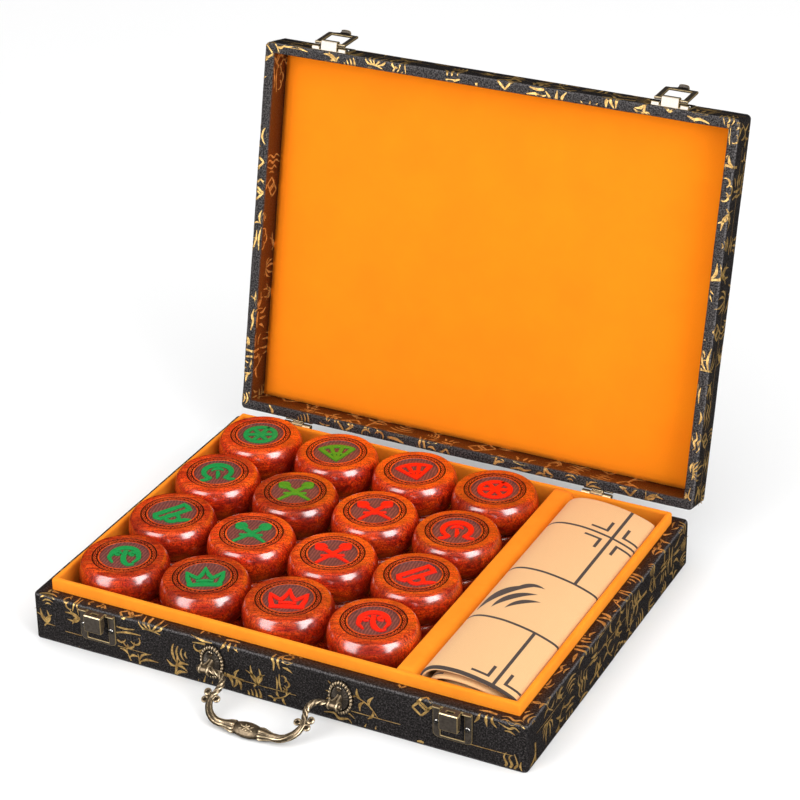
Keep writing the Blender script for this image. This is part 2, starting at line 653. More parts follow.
# Strokes in mm round a figure's own centre, with their widths at the start, middle and end:
# a sprig, hanging leaves, clouds, ripples, bamboo, lozenges, leaves under two lines, grass, arcs.
FIGURES = [
    [([(-6, -5), (-1, -0.5), (2, 6)], (0.4, 0.8, 0.4)), leaf(-3.6, -2.6, 150, 5.0),
     leaf(-1.6, -0.8, -20, 6.0, 1.7), leaf(0.0, 1.6, 160, 5.5, 1.6, -0.2), leaf(1.0, 3.2, 20, 5.2),
     leaf(2.0, 5.6, 100, 3.6, 1.2)],
    [leaf(0, 5, -128, 9.0, 1.6), leaf(0, 5, -104, 10.5, 1.9, -0.1), leaf(0, 5, -78, 9.5, 1.8),
     leaf(0, 5, -52, 8.0, 1.5, -0.2), ([(-2.0, 6.6), (0.0, 5.0), (5.5, 5.8)], (0.9, 0.7, 0.3))],
    [bow(-3.6, 1.0, 2.5, 20, 190, 1.2), bow(0.0, 2.6, 2.9, -5, 190, 1.4),
     bow(3.8, 0.8, 2.4, -30, 190, 1.2), ([(-7, -1.6), (0, -2.2), (7, -1.2)], (0.4, 1.3, 0.4)),
     ([(-4.5, -4.2), (1.0, -4.0), (8.5, -5.4)], (0.3, 1.2, 0.2))],
    [([(-7, 3.5), (-3, 5.0), (0, 3.2), (4, 4.6), (7, 3.0)], (0.3, 1.4, 0.3)),
     ([(-7.5, 0.5), (-3, 1.9), (0, 0.2), (4, 1.6), (6, 0)], (0.4, 1.6, 0.2)),
     ([(-5, -2.8), (-2, -1.3), (1, -3.0), (7, -1.6)], (0.3, 1.4, 0.3)),
     ([(-3, -5.6), (0, -4.6), (3, -5.2)], (0.3, 1.2, 0.3))],
    [([(-2.2, -8), (-1.9, -3)], (1.7, 1.3, 1.7)), ([(-1.8, -2.4), (-1.4, 2.6)], (1.6, 1.2, 1.6)),
     ([(-1.3, 3.2), (-0.9, 8)], (1.5, 1.1, 1.3)), leaf(-1.7, -2.6, 30, 7.5, 1.9),
     leaf(-1.4, 2.8, 158, 6, 1.7), leaf(-1.3, 3.0, 24, 7.5, 1.9), leaf(-1.3, 3.0, -12, 6.5, 1.6)],
    [([(x + a, y + b), (x + c, y + d)], (0.9, 1.3, 0.9)) for up in (4.6, -4.6)
     for a, b, c, d in ((-4.2, 0, 0, up), (0, up, 4.2, 0)) for x, y in ((-1.6, 1.4), (1.9, -1.6))],
    [([(-6, 4.4), (-2, 5.2), (1, 4.4), (6, 5.4)], (0.6, 1.7, 0.6)),
     ([(-4.5, 1.2), (0, 1.8), (4.5, 1.2)], (1.2, 1.6, 0.6)), leaf(-3.5, -1.0, -112, 6.5, 1.7),
     leaf(-0.5, -0.8, -92, 7.0, 1.8, 0.05), leaf(3.0, -1.0, -64, 6.5, 1.7, -0.1)],
    [leaf(-1.0, -6, 118, 8.5, 1.2, 0.12), leaf(0, -6, 96, 11.5, 1.5, 0.10),
     leaf(0.6, -6, 76, 10.0, 1.4, -0.12), leaf(1.2, -6, 52, 8.0, 1.2, -0.2),
     leaf(-1.6, -6, 146, 5.5, 1.0, 0.2), ([(-4, -6.4), (0, -5.8), (4.6, -6.6)], (0.3, 1.1, 0.3))],
    [bow(0, -5.5, 9.6, 55, 70, 1.6), bow(0, -5.5, 7.2, 50, 80, 1.4),
     bow(0, -5.5, 4.8, 45, 90, 1.2), bow(0, -5.5, 2.4, 40, 100, 1.1)],
]
COLUMN, FIGURE_GAP, BRUSH_STEP, PRINT_EDGE, PRINT_LIFT = 16.0, 12.5, 0.6, 0.15, 0.05
BASE_PATH = [(0, 0.8), (0, 27.2), (0.14, 27.7), (0.45, 28.05), (0.95, EDGE), (LEDGE - 0.1, EDGE)]
LID_PATH = [(0, LID_TOP - 0.8), (0, RIM + 1.2), (0.12, RIM + 0.55), (0.42, RIM + 0.12),
            (0.95, RIM), (5.2, RIM), (5.7, RIM + 0.22), (6.0, RIM + 0.8), (6.0, LID_CEIL)]


def on_path(path, t):
    """The place and the direction at a run t along a profile of (inset, z) points."""
    for (a, b), (c, d) in zip(path, path[1:]):
        step = hypot(c - a, d - b)
        if t <= step or (c, d) == path[-1]:
            f = t / step
            return a + (c - a) * f, b + (d - b) * f, (c - a) / step, (d - b) / step
        t -= step


def side_place(side, path, lift):
    """Where a print at (along, up the profile) lands on one side of the case."""
    half = (DEPTH if side in ("left", "right") else WIDTH) / 2

    def place(u, t):
        inset, z, di, dz = on_path(path, t)
        u = max(-half + inset + 0.3, min(half - inset - 0.3, u))
        inset, z = inset - dz * lift, z + di * lift
        x, y = {"front": (u, FRONT + inset), "back": (-u, BACK - inset),
                "right": (WIDTH / 2 - inset, u), "left": (-WIDTH / 2 + inset, -u)}[side]
        return hand_laid(x, y, z)
    return place


def nowhere(u, t):
    return False


def under_fitting(u, t):
    """Whether a latch plate or a rosette lies over this place on the base's front."""
    z = t + BASE_PATH[0][1]
    return (any(abs(u - x) < 11.0 and 9.2 < z < 30.0 for x in (-LATCH_X, LATCH_X))
            or any(hypot((u - HANDLE_X - x) / 6.9, (z - PIVOT_Z) / 10.1) < 1
                   for x in (-POST_X, POST_X)))


def gold_print(name, body, fields, moved=None):
    """Gold figures in loose columns, and thin lines at the heights in lined, over fields of
    (place, width, height, seed, lined, share filled, hidden)."""
    verts, faces = [], []

    def brush(points, widths, place, width, height, hidden):
        run = smooth_run(points, max(8, int(run_length(points) / BRUSH_STEP)))
        last = None
        for i, (u, t) in enumerate(run):
            along, up = heading(run, i)
            w = stroke_width(widths, i / (len(run) - 1))
            du, dt = -up * w / 2, along * w / 2
            ends = [(u + du, t + dt), (u - du, t - dt)]
            if any(not (PRINT_EDGE < b < height - PRINT_EDGE and abs(a) < width / 2)
                   or hidden(a, b) for a, b in ends):
                last = None
                continue
            k = len(verts)
            verts.extend(place(*e) for e in ends)
            if last is not None:
                faces.append((last, last + 1, k + 1, k))
            last = k

    for place, width, height, seed, lined, fill, hidden in fields:
        field = (place, width, height, hidden)
        rng = random.Random(seed)
        columns = int(width / COLUMN)
        for i in range(columns):
            u = -width / 2 + width * (i + 0.5) / columns + rng.uniform(-2, 2)
            t = rng.uniform(-5, 5)
            size = rng.choice((0.85, 1.0, 1.1, 1.3))
            while t < height + 4:
                if rng.random() < fill:
                    figure = FIGURES[rng.randrange(len(FIGURES))]
                    turn = radians(rng.choice((0, 0, 90, 180, 270)) + rng.uniform(-9, 9))
                    k = size * rng.uniform(0.85, 1.12)
                    flip = rng.choice((-1, 1))
                    ca, sa = cos(turn) * k, sin(turn) * k
                    ju, jt = u + rng.uniform(-1.5, 1.5), t + rng.uniform(-1, 1)
                    for points, widths in figure:
                        brush([(ju + flip * x * ca - y * sa, jt + flip * x * sa + y * ca)
                               for x, y in points],
                              [w * (0.55 + 0.45 * size) for w in widths], *field)
                t += FIGURE_GAP * size * rng.uniform(0.85, 1.15)
        for t0 in lined:
            u = -width / 2 + rng.uniform(0, 20)
            while u < width / 2:
                run = rng.uniform(25, 75)
                brush([(u, t0), (u + run / 2, t0 + rng.uniform(-0.15, 0.15)), (u + run, t0)],
                      (0.28, 0.45, 0.28), *field)
                u += run + rng.uniform(8, 40)
    make(name, verts, faces, body, "cover_cloth", [GOLD], moved=moved)


def print_cover():
    base, lid = [], []
    for k, side in enumerate(("front", "right", "back", "left")):
        width, line = (DEPTH, 17.0) if k % 2 else (WIDTH, 8.2)
        base.append((side_place(side, BASE_PATH, PRINT_LIFT), width, run_length(BASE_PATH), 34 + k,
                     (line,), 0.92 if side == "right" else 0.74,
                     under_fitting if side == "front" else nowhere))
        lid.append((side_place(side, LID_PATH, -PRINT_LIFT), width, run_length(LID_PATH), 41 + k,
                    (9.0,), 0.82, nowhere))
    lid.append((lambda u, t: (u, t - DEPTH / 2, LID_TOP + PRINT_LIFT), WIDTH - 4, DEPTH - 1, 61,
                tuple(range(18, 224, 41)), 0.82, nowhere))
    gold_print("base_gold_figures", "case_base", base)
    gold_print("lid_gold_figures", "case_lid", lid, moved=LID_MOVE)


print_cover()


# ------------------------------------------------------------------ linings
def neck_wall():
    """The soft lining that stands above the ledge, one closed strip all round."""
    i0, i1, top = LEDGE, LEDGE + NECK, NECK_TOP
    rows = [(i0, FLOOR, 0.6), (i0, 28.3, 0.6), (i0, 33.6, 0.7), (i0 + 0.18, 34.5, 0.7),
            (i0 + 0.62, 35.05, 0.6), (i0 + 1.5, top, 0.5), (i1 - 0.62, 35.05, 0.4),
            (i1 - 0.18, 34.5, 0.4), (i1, 33.6, 0.4), (i1, 20.0, 0.4), (i1, FLOOR, 0.4)]
    verts, faces = loft([rounded_loop(*row, step=5.0, arc=3) for row in rows], caps=False)
    n = len(verts) // len(rows)
    last = len(verts) - n
    faces += [(last + i, last + (i + 1) % n, (i + 1) % n, i) for i in range(n)]
    out = []
    for x, y, z in verts:
        d = noise.noise(Vector((x, y, 0.0)) * 0.06) * 0.16 if z > 30 else 0.0
        out.append((x, y, z + min(d, 0.0)))
    make("neck_wall_cloth", out, faces, "case_base", "bay_flannel", [FLANNEL], ["neck_lining"])


def divider():
    """The padded divider, softer on the side of the folded sheet."""
    outline = [(DIV_L, BAY_FLOOR), (DIV_L, 33.8), *arc_points(DIV_L + 1.4, 33.8, 1.4, 162, -72, 4),
               *arc_points(DIV_R - 5.0, 30.2, 5.0, 90, -90, 9), (DIV_R, BAY_FLOOR)]
    loops, steps = [], 48
    for k in range(steps + 1):
        y = -BAY_Y + 2 * BAY_Y * k / steps
        row = []
        for x, z in outline:
            d = noise.noise(Vector((x * 0.05, y * 0.05, 3.0))) * 0.25 if z > 20 else 0.0
            row.append((x, y, z + min(d, 0.0)))
        loops.append(row)
    make("divider_cloth", *loft(loops), "case_base", "bay_flannel", [FLANNEL], ["bay_divider"])


def lid_pad():
    """The crowned lining pad in the lid, with drawn-in edges."""
    hx, hy = WIDTH / 2 - PAD_EDGE, DEPTH / 2 - PAD_EDGE
    nx, ny = 84, 66
    thin, full, crown = 0.5, 1.25, 0.55  # its thickness at the edge, and what it gains inwards
    near, wide = 1.6, 26.0  # the distances over which it gains them
    verts = []
    for j in range(ny + 1):
        for i in range(nx + 1):
            x, y = -hx + 2 * hx * i / nx, -hy + 2 * hy * j / ny
            e = min(hx - abs(x), hy - abs(y))
            rise, far = 1.0 - exp(-e / near), 1.0 - exp(-e / wide)
            d = (noise.noise(Vector((x, y, 0)) * 0.016) * 0.22
                 + noise.noise(Vector((x, y, 5)) * 0.05) * 0.07)
            t = thin + rise * (full + crown * far + d * far)
            verts.append((x, y, LID_CEIL - min(t, PAD_T)))
    n = nx + 1
    faces = grid_faces(n, ny + 1)
    rim = [*range(n), *(j * n + nx for j in range(1, ny + 1)),
           *(ny * n + i for i in range(nx - 1, -1, -1)), *(j * n for j in range(ny - 1, 0, -1))]
    start, m = len(verts), len(rim)
    verts += [(*verts[k][:2], LID_CEIL) for k in rim]
    faces += [(rim[k], rim[(k + 1) % m], start + (k + 1) % m, start + k) for k in range(m)]
    faces.append(tuple(range(start, start + m)))
    obj = make("lid_pad_cloth", verts, faces, "case_lid", "pad_cloth", [PAD], ["lid_pad"],
               moved=LID_MOVE)


neck_wall()
divider()
lid_pad()
for part in ("base_bottom_board", "base_long_walls", "base_short_walls", "lid_board",
             "lid_long_walls", "lid_short_walls"):
    dress(NODES[part].data, BOARD)
dress(NODES["floor_lining"].data, FLANNEL)

# ------------------------------------------------------------------ playing pieces
MARK, BOLD = 11.0, 1.16  # mm to a picture's unit, and how much its strokes are thickened


def both(points, widths):
    """A stroke and its mirror image."""
    return (points, widths), ([(-x, y) for x, y in points], widths)


# Each stroke is a run of points and the widths at its start, middle and end, in mm.
STROKES = {
    "general": [
        ([(-0.80, -0.72), (0.0, -0.66), (0.80, -0.74)], (2.0, 2.9, 2.2)),
        *both([(-0.92, 0.45), (-0.84, -0.1), (-0.70, -0.62)], (1.0, 2.2, 2.4)),
        ([(-0.90, 0.42), (-0.60, 0.10), (-0.36, -0.10)], (1.2, 2.2, 1.8)),
        ([(-0.36, -0.12), (-0.14, 0.30), (0.0, 0.85)], (2.2, 2.0, 1.0)),
        ([(0.0, 0.85), (0.14, 0.30), (0.36, -0.12)], (1.0, 2.0, 2.2)),
        ([(0.36, -0.10), (0.60, 0.10), (0.90, 0.42)], (1.8, 2.2, 1.2)),
        ([(-0.40, -0.36), (0.0, -0.32), (0.40, -0.38)], (1.2, 1.9, 1.2)),
    ],
    "advisor": [
        (arc_points(0, -0.85, 1.50, 55, 70), (1.6, 2.6, 1.6)),
        ([(0, -0.88), (-0.44, -0.25), (-0.84, 0.36)], (1.2, 1.9, 2.6)),
        *both([(0, -0.88), (-0.15, -0.15), (-0.30, 0.55)], (1.2, 1.8, 2.4)),
        ([(0, -0.88), (0.44, -0.25), (0.84, 0.36)], (1.2, 1.9, 2.6)),
        (arc_points(0, -0.85, 0.72, 62, 56), (1.2, 2.0, 1.2)),
    ],
    "elephant": [
        (arc_points(0, 0.10, 0.68, -5, 190), (2.4, 2.8, 2.4)),
        *both([(-0.68, 0.12), (-0.72, -0.20), (-0.50, -0.62)], (2.4, 2.0, 0.9)),
        ([(0.0, 0.42), (-0.04, -0.1), (0.06, -0.52), (0.30, -0.80), (0.56, -0.74)],
         (2.4, 2.8, 1.2)),
        *((arc_points(x, 0.22, 0.14, 0, 300), (1.3, 1.6, 1.3)) for x in (-0.36, 0.36)),
    ],
    "horse": [
        (arc_points(0, 0.10, 0.72, -52, 284, 22), (2.2, 3.4, 2.2)),
        *both([(-0.42, -0.50), (-0.62, -0.68), (-0.88, -0.74)], (2.4, 2.2, 1.2)),
        (arc_points(0, 0.14, 0.30, 20, 140), (1.0, 1.8, 1.0)),
        ([(0.0, 0.12), (0.02, -0.2), (-0.04, -0.55)], (1.6, 2.2, 0.9)),
    ],
    "chariot": [
        (arc_points(0, 0, 0.80, 60, 360, 30), (2.4, 2.4, 2.4)),
        *(([(-x, -y), (0.0, mid), (x, y)], (1.8, 2.6, 1.8))
          for x, y, mid in ((0.78, 0.0, 0.03), (0.40, 0.68, 0.0), (0.40, -0.68, 0.0))),
    ],
    "cannon": [
        ([(-0.86, -0.04), (-0.1, 0.36), (0.66, 0.78)], (2.6, 2.6, 2.0)),
        ([(-0.62, -0.48), (0.1, -0.14), (0.88, 0.28)], (2.4, 2.6, 2.0)),
        ([(0.60, 0.84), (0.80, 0.52), (0.92, 0.20)], (1.6, 2.6, 1.6)),
        ([(-0.90, 0.0), (-0.84, -0.30), (-0.58, -0.52)], (1.6, 2.8, 1.6)),
        (arc_points(-0.02, -0.48, 0.34, 80, 360, 20), (1.9, 2.2, 1.9)),
        ([(0.30, -0.76), (0.62, -0.74), (0.92, -0.80)], (2.0, 2.4, 1.0)),
    ],
    "soldier": [
        *both([(-0.80, -0.84), (0.0, 0.0), (0.72, 0.76)], (1.2, 2.4, 2.0)),
        *(([(s * x, y) for x, y in side], (0.9, 2.4, 1.0)) for s in (1, -1) for side in (
            [(0.86, 0.90), (0.78, 0.55), (0.52, 0.38)],
            [(0.86, 0.90), (0.50, 0.84), (0.32, 0.62)])),
        ([(-0.56, -0.16), (0.0, -0.20), (0.56, -0.14)], (1.2, 2.2, 1.2)),
    ],
}


def stroke_mesh(points, widths, low, high):
    """A carved brush stroke: a raised ribbon with sloping sides and tapered ends."""
    section = ((1.06, low), (1.0, high - 0.16), (0.86, high))
    section += tuple((-side, z) for side, z in reversed(section))
    run = [(x * MARK, y * MARK) for x, y in smooth_run(points, max(12, len(points)))]
    n, loops = len(run), []
    for i, (x, y) in enumerate(run):
        dx, dy = heading(run, i)
        h = stroke_width(widths, i / (n - 1)) / 2
        ends = -0.55 * h if i == 0 else 0.55 * h if i == n - 1 else 0.0
        loops.append([(x - dy * h * side + dx * ends * abs(side),
                       y + dx * h * side + dy * ends * abs(side), z) for side, z in section])
    return loft(loops)


BAND_OUT, BAND_IN, WELL, WELL_DEPTH = 18.0, 14.4, 13.6, 0.9
TWISTS = 40
GROOVE, IN_GROOVE, IN_DOTS, OUT_DOTS, OUT_GROOVE = 0.46, 0.22, 0.32, 0.68, 0.80
PLAIT_MID, PLAIT_HALF, STRAND = 0.49, 0.19, 0.46


def band_height(r, a):
    """The carved border: a plait of two strands between rows of pricked dots, in a groove. Its
    parts start and end at shares of the band's width."""
    s = (r - BAND_IN) / (BAND_OUT - BAND_IN)
    if s <= 0.0 or s >= 1.0:
        return 0.0
    if s < IN_GROOVE or s > OUT_GROOVE:
        return -GROOVE
    ph = a * TWISTS
    if s < IN_DOTS:
        return -GROOVE + 0.44 * (1.0 - max(0.0, cos(ph)) ** 2)
    if s > OUT_DOTS:
        return -GROOVE + 0.46 * (1.0 - max(0.0, cos(ph + pi)) ** 1.5)
    y, best = (s - PLAIT_MID) / PLAIT_HALF, 0.0
    for sign in (1, -1):
        d = abs(y - 0.72 * sin(ph / 2 + (0 if sign > 0 else pi))) / STRAND
        over = 0.06 if cos(ph) * sign > 0 else 0.0
        best = max(best, (sqrt(1 - d ** 2) if d < 1 else 0.0) + over)
    return -GROOVE + 0.40 * min(best, 1.0)


def piece_mesh(rank, paint):
    """A turned piece: plain wood 0, carved border 1, sunk face 2 and painted picture 3."""
    name = f"piece_{rank}_{paint}"
    if name in bpy.data.meshes:
        return bpy.data.meshes[name]
    h, face, well = PIECE_H, 20.5, PIECE_H - WELL_DEPTH
    rows = [(19.6, 0.05, 0), (20.4, 0.22, 0)]
    for i in range(17):
        a = radians(-70 + 140 * i / 16)
        rows.append((face + (PIECE_D / 2 - face) * cos(a) * 0.995,
                     h / 2 * (1 + sin(a) / sin(radians(76))), 0))
    rows += [(21.15, h - 0.16, 0), (face, h - 0.06, 0), (19.7, h - 0.01, 0), (18.8, h, 0),
             (18.06, h, 0)]
    rows += [(BAND_OUT - (BAND_OUT - BAND_IN) * k / 15, h, 1) for k in range(16)]
    rows += [(14.0, h - 0.02, 1), (WELL, h - 0.06, 1), (WELL - 0.12, well, 2), (9.0, well, 2)]
    around = TWISTS * 6
    verts, faces = loft([[
        (r * cos(a), r * sin(a), z + (band_height(r, a) if kind == 1 else 0.0))
        for a in circle(around)] for r, z, kind in rows], caps=False)
    ids = [kind for *_, kind in rows[1:] for _ in range(around)]
    for k, z, kind in ((0, 0.12, 0), (len(verts) - around, well, 2)):
        tip = len(verts)
        verts.append((0, 0, z))
        for j in range(around):
            a, b = k + j, k + (j + 1) % around
            faces.append((tip, b, a) if kind == 0 else (a, b, tip))
            ids.append(kind)
    for k, (points, widths) in enumerate(STROKES[rank]):
        v2, f2 = stroke_mesh(points, [w * BOLD for w in widths], well - 0.05, h - 0.10 - 0.006 * k)
        faces += [tuple(len(verts) + i for i in f) for f in f2]
        verts += v2
        ids += [3] * len(f2)
    return mesh_of(name, verts, faces, (PIECE_WOOD, BAND_WOOD, RECESS, PAINTS[paint]), ids,
                   [i < 2 for i in ids])


def pieces():
    random.seed(11)
    for node in sorted(NODES):
        if not node.startswith(("green_", "red_")):
            continue
        colour, rank = node.split("_")[:2]
        low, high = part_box(node)
        paint = "lime" if node in ("green_advisor_1", "green_soldier_1") else colour
        obj = in_scene(node + "_turned", piece_mesh(rank, paint))
        obj.location = ((low.x + high.x) / 2, (low.y + high.y) / 2, low.z)
        obj.rotation_euler = (0, 0, radians(PIECE_TURN + random.uniform(-7, 7)))
        stand_in(obj, node + "_body", [node])


pieces()

# ------------------------------------------------------------------ folded playing sheet
STEP, TURNS, PITCH, SLACK = 2.0, 4, 3.75, 0.9
PANEL_BACK, PANEL_MID = 189.0, 149.0
# the roll's upper outline, from its left side: across, and up from the underside of the case
SHEET_TOP = [(0.0, 32.6), (0.8, 35.2), (3.0, 38.2), (6.6, 40.6), (12.4, 42.0), (20.8, 42.3),
             (29.3, 41.6), (37.7, 40.2), (42.6, 39.0), (49.0, 36.9), (53.2, 34.9), (54.0, 32.8)]


def spiral(length):
    """The rolled sheet's outer layer in (x, z), from its outer edge inwards, point by STEP."""
    left, right, low = DIV_R + 0.9, DIV_R + 54.9, BAY_FLOOR + 0.6
    span = right - left
    points = [(right - 0.6, low), (left + 7, low), (left + 2, low + 1.2), (left, low + 6)]
    for n in range(TURNS):
        s, drop = n * PITCH, n * (PITCH + SLACK)
        squeeze = (span - 2 * s) / span
        points += [(left + s, z) for z in (14, 20, 26) if low + s + 8 < z < 31 - drop]
        points += [(left + s + x * squeeze, z - drop) for x, z in SHEET_TOP]
        points += [(right - s, z) for z in (26, 20, 14) if low + s + 10 < z < 30 - drop]
        under, inner = low + s + PITCH, left + s + PITCH
        points += [(right - s, under + 5), (right - s - 2, under + 1.2), (right - s - 7, under),
                   (inner + 7, under), (inner + 2, under + 1.2), (inner, under + 6)]
    dense = smooth_run(points, 24 * len(points))
    lens = [0.0]
    for a, b in zip(dense, dense[1:]):
        lens.append(lens[-1] + dist(a, b))
    k, out, s = 0, [], 0.0
    while s < min(length, lens[-1]):
        while lens[k + 1] < s:
            k += 1
        f = (s - lens[k]) / max(lens[k + 1] - lens[k], 1e-9)
        (ax, az), (bx, bz) = dense[k], dense[k + 1]
        out.append((ax + (bx - ax) * f, az + (bz - az) * f))
        s += STEP
    return out


def fold_stations():
    """Lines across the three panels: (y, how far in from the outer layer, flat v)."""
    y0 = FRONT + LEDGE + NECK + 0.7
    y1, front = y0 + 188.2, MARGIN + 3 * CELL
    back, under = front + PANEL_BACK, front - 2.2
    gap, steps = 0.95, 46
    out = []
    for i in range(steps + 1):  # under panel, from its free edge to the front fold
        v = under * i / steps
        out.append((y0 + 1.2 + (under - v) * 0.985, 2 * gap, v))
    for i in range(1, 8):
        a = radians(180 * i / 8)
        out.append((y0 + 1.2 - 1.2 * sin(a), gap + gap * cos(a), under + 2.6 * i / 8))
    for i in range(steps + 1):  # outer panel
        f = i / steps
        out.append((y0 + 1.2 + (y1 - y0 - 1.9) * f, 0.0, front + 0.4 + (PANEL_BACK - 0.4) * f))
    for i in range(1, 5):
        a = radians(180 * i / 5)
        out.append((y1 - 0.7 + 0.7 * sin(a), gap / 2 - gap / 2 * cos(a), back))
    for i in range(36):  # middle panel, back from the rear fold
        f = i / 35
        out.append((y1 - 0.7 - (PANEL_MID - 3.0) * f, gap, back + PANEL_MID * f))
    return out


def playing_sheet():
    """One continuous cloth, folded in three and then rolled."""
    run = spiral(SHEET_U)
    stations = fold_stations()
    verts, flat = [], []
    for y, inn, v in stations:
        for i, (x, z) in enumerate(run):
            dx, dz = heading(run, i)
            u = i * STEP
            d = inn + max(noise.noise(Vector((x * 0.03, y * 0.03, z * 0.05))) * 0.25, 0.0) * 0.6
            verts.append((x + dz * d, y, z - dx * d))
            flat.append((u, v + min(3.2, 0.03 * max(0.0, u - 108.0))))
    obj = make("playing_sheet_cloth", verts, grid_faces(len(run), len(stations)), "sheet_roll",
               "sheet_cloth", [SHEET], ["playing_sheet"], flat=flat)
    m = obj.modifiers.new("thick", "SOLIDIFY")
    m.thickness, m.offset = 0.45 * MM, 0.0


playing_sheet()


# ------------------------------------------------------------------ metal fittings
def worn_copy(node, body, width, mats):
    """A copy of a CAD node with its edges rounded and worn: mats are plain, fold, rim and edge."""
    bm = bmesh.new()
    bm.from_mesh(NODES[node].data)
    bmesh.ops.remove_doubles(bm, verts=bm.verts, dist=0.002 * MM)
    bmesh.ops.dissolve_limit(bm, angle_limit=radians(1.0), verts=bm.verts, edges=bm.edges)
    mesh = bpy.data.meshes.new(node + "_worn")
    bm.to_mesh(mesh)
    bm.free()
    dress(mesh, *mats)
    turned = LID_MOVE.to_3x3().inverted() if body == "case_lid" else Matrix.Identity(3)
    for p in mesh.polygons:
        nrm = turned @ p.normal
        fold = abs(nrm.x) < 0.3 and abs(nrm.y) > 0.45 and abs(nrm.z) > 0.45  # a sloping face
        rim = node == "latch_lid_plates" and nrm.z < -0.6
        p.material_index = 2 if rim else int(fold)
        p.use_smooth = False
    obj = in_scene(node + "_worn", mesh)
    round_edges(obj, width, len(mats) - 1, limit_method="ANGLE", angle_limit=radians(28),
                use_clamp_overlap=False)
    stand_in(obj, body, [node])


for part, body in (("latch_base_plates", "case_base"), ("latch_lid_plates", "case_lid"),
                   ("latch_ring_left", "left_ring"), ("latch_ring_right", "right_ring")):
    worn_copy(part, body, 0.34, [DARK_METAL, EDGE_METAL, SILVER, RIM_METAL])
for part, body in (("hinge_base_leaves", "case_base"), ("hinge_lid_leaves", "case_lid")):
    worn_copy(part, body, 0.15, [BRONZE, EDGE_METAL])
for part, metal in (("hinge_pins", BRONZE), ("base_screws", STEEL), ("lid_screws", STEEL)):
    dress(NODES[part].data, metal)


def hook_cheeks():
    """The turned-back sides of each base hook, inside the ring's window."""
    half, thick, near, far = 5.25, 0.6, 5.7, 1.9
    top, low = BASE_H - 1.7, BASE_H - 10.2
    outline = [(near, low), (near, top), (far, top), (far, low + 3.4), (far + 1.4, low)]
    verts, faces = [], []
    for x in (-LATCH_X, LATCH_X):
        for side in (-1, 1):
            v, f = loft([[(x + side * out, FRONT - y, z) for y, z in outline]
                         for out in (half - thick, half)])
            faces += [tuple(len(verts) + i for i in face) for face in f]
            verts += v
    obj = make("latch_hook_cheeks", verts, faces, "case_base", "latch_bronze",
               [BRONZE, EDGE_METAL], smooth=False)
    face_out(obj)
    round_edges(obj, 0.14, 1)


def ring_tabs():
    """The turned-up finger lip in the middle of each ring's far bar, where the ring lies back."""
    half, steps, lip = 3.1, 14, 1.3
    section = ((184.4, 253.6, 0), (185.9, 253.6, 0), (186.4, 254.1, 0), (186.45, 254.9, 1),
               (186.1, 255.2, 1), (185.6, 255.15, 1), (185.35, 254.8, 1), (185.1, 255.0, 0),
               (184.4, 255.0, 0))
    for x, body in ((-LATCH_X, "left_ring"), (LATCH_X, "right_ring")):
        loops = []
        for i in range(steps + 1):
            f = 2 * i / steps - 1
            rise = lip * max(0.0, 1 - f * f) ** 0.3
            loops.append([(x + half * f, y, z + up * rise) for y, z, up in section])
        n = len(section)
        obj = make(body + "_tab", *loft(loops), body, "latch_bronze", [DARK_METAL, RIM_METAL],
                   ids=[int(i % n in (3, 4)) for i in range(n * steps)] + [1, 1], smooth=False)
        face_out(obj)


hook_cheeks()
ring_tabs()


# ------------------------------------------------------------------ bail handle
RIB_WORN, FLUTE_WORN = 0.62, 0.5  # how far up a rib or a flute its worn metal starts


